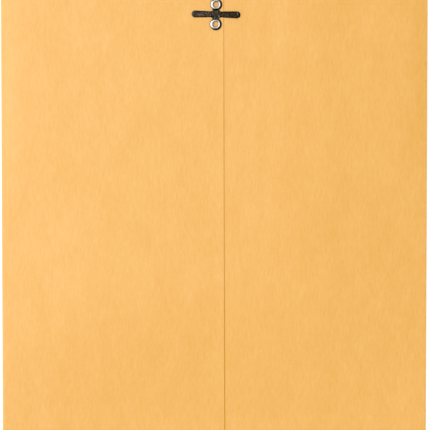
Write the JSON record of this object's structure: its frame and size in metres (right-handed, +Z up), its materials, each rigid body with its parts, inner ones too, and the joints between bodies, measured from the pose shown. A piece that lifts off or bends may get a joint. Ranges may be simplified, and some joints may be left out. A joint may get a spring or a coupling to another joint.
{
  "type": "clasp envelope",
  "caption": "Open-end kraft paper mailing envelope with a glued back seam, an open flap with a strengthened hole, and a metal clasp whose prongs bend up.",
  "frame": {"origin": "on the underside, in the middle of the pocket, which is the mount named underside", "axes": "+X across the envelope, +Y from the bottom fold to the flap, +Z up out of the back"},
  "size_m": [0.2286, 0.3616, 0.0075],
  "materials": {
    "kraft_paper": "smooth golden kraft paper, matte with a faint sheen",
    "patch_paper": "gummed kraft paper tape, matte",
    "tinned_steel": "thin tinned steel, bright with fine scratches"
  },
  "bodies": {
    "envelope": {"envelope_sheet": "kraft_paper", "hole_patch": "patch_paper", "clasp": "tinned_steel"},
    "left_prong": {"left_prong": "tinned_steel"},
    "right_prong": {"right_prong": "tinned_steel"}
  },
  "joints": [
    {"name": "left_prong_bend", "type": "hinge", "parent": "envelope", "child": "left_prong", "pos_m": [-0.0012, 0.11444, 0.00683], "axis": [0.0209, 0.9998, 0], "range_deg": [0, 90]},
    {"name": "right_prong_bend", "type": "hinge", "parent": "envelope", "child": "right_prong", "pos_m": [0.003, 0.11436, 0.00683], "axis": [-0.0209, -0.9998, 0], "range_deg": [0, 90]}
  ]
}
